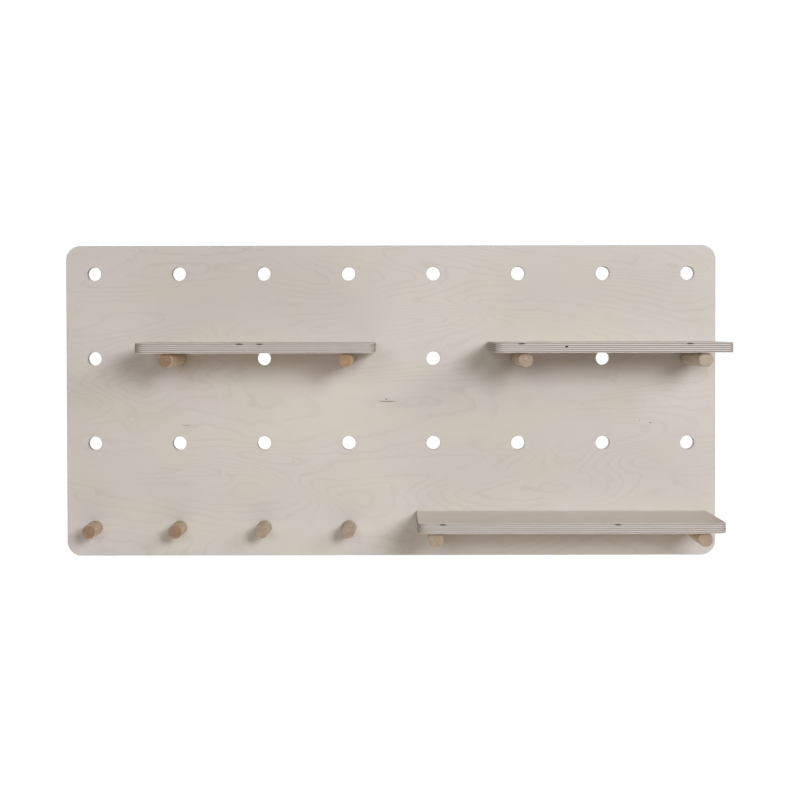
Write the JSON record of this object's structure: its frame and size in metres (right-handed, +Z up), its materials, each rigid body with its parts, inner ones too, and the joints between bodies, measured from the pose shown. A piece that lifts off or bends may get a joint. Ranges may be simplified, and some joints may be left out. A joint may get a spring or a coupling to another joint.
{
  "type": "pegboard",
  "caption": "Wall-hung birch plywood pegboard with a grid of round holes, pull-out dowel pegs and lift-off plywood shelves that lie on pairs of pegs.",
  "frame": {"origin": "middle of the panel's back face, on the wall", "axes": "+X right along the panel's long side, +Y into the wall, +Z up"},
  "size_m": [0.958, 0.1673, 0.458],
  "materials": {
    "panel_plywood": "matte",
    "shelf_plywood": "matte",
    "dowel": "matte",
    "zinc_steel": "satin"
  },
  "bodies": {
    "panel": {"pegboard_panel": "panel_plywood", "upper_left_keyhole_plate": "zinc_steel", "upper_right_keyhole_plate": "zinc_steel", "lower_left_keyhole_plate": "zinc_steel", "lower_right_keyhole_plate": "zinc_steel", "plate_screws": "zinc_steel"},
    "left_shelf": {"left_shelf": "shelf_plywood"},
    "left_shelf_left_peg": {"left_shelf_left_peg": "dowel"},
    "left_shelf_right_peg": {"left_shelf_right_peg": "dowel"},
    "right_shelf": {"right_shelf": "shelf_plywood"},
    "right_shelf_left_peg": {"right_shelf_left_peg": "dowel"},
    "right_shelf_right_peg": {"right_shelf_right_peg": "dowel"},
    "lower_shelf": {"lower_shelf": "shelf_plywood"},
    "lower_shelf_left_peg": {"lower_shelf_left_peg": "dowel"},
    "lower_shelf_right_peg": {"lower_shelf_right_peg": "dowel"},
    "hanging_peg_1": {"hanging_peg_1": "dowel"},
    "hanging_peg_2": {"hanging_peg_2": "dowel"},
    "hanging_peg_3": {"hanging_peg_3": "dowel"},
    "hanging_peg_4": {"hanging_peg_4": "dowel"}
  },
  "joints": [
    {"name": "left_shelf_lift", "type": "slide", "parent": "panel", "child": "left_shelf", "axis": [0, 0, 1], "range_m": [0, 0.1]},
    {"name": "left_shelf_left_peg_pull", "type": "slide", "parent": "panel", "child": "left_shelf_left_peg", "axis": [0, -1, 0], "range_m": [0, 0.03]},
    {"name": "left_shelf_right_peg_pull", "type": "slide", "parent": "panel", "child": "left_shelf_right_peg", "axis": [0, -1, 0], "range_m": [0, 0.03]},
    {"name": "right_shelf_lift", "type": "slide", "parent": "panel", "child": "right_shelf", "axis": [0, 0, 1], "range_m": [0, 0.1]},
    {"name": "right_shelf_left_peg_pull", "type": "slide", "parent": "panel", "child": "right_shelf_left_peg", "axis": [0, -1, 0], "range_m": [0, 0.03]},
    {"name": "right_shelf_right_peg_pull", "type": "slide", "parent": "panel", "child": "right_shelf_right_peg", "axis": [0, -1, 0], "range_m": [0, 0.03]},
    {"name": "lower_shelf_lift", "type": "slide", "parent": "panel", "child": "lower_shelf", "axis": [0, 0, 1], "range_m": [0, 0.1]},
    {"name": "lower_shelf_left_peg_pull", "type": "slide", "parent": "panel", "child": "lower_shelf_left_peg", "axis": [0, -1, 0], "range_m": [0, 0.03]},
    {"name": "lower_shelf_right_peg_pull", "type": "slide", "parent": "panel", "child": "lower_shelf_right_peg", "axis": [0, -1, 0], "range_m": [0, 0.03]},
    {"name": "hanging_peg_1_pull", "type": "slide", "parent": "panel", "child": "hanging_peg_1", "axis": [0, -1, 0], "range_m": [0, 0.03]},
    {"name": "hanging_peg_2_pull", "type": "slide", "parent": "panel", "child": "hanging_peg_2", "axis": [0, -1, 0], "range_m": [0, 0.03]},
    {"name": "hanging_peg_3_pull", "type": "slide", "parent": "panel", "child": "hanging_peg_3", "axis": [0, -1, 0], "range_m": [0, 0.03]},
    {"name": "hanging_peg_4_pull", "type": "slide", "parent": "panel", "child": "hanging_peg_4", "axis": [0, -1, 0], "range_m": [0, 0.03]}
  ]
}
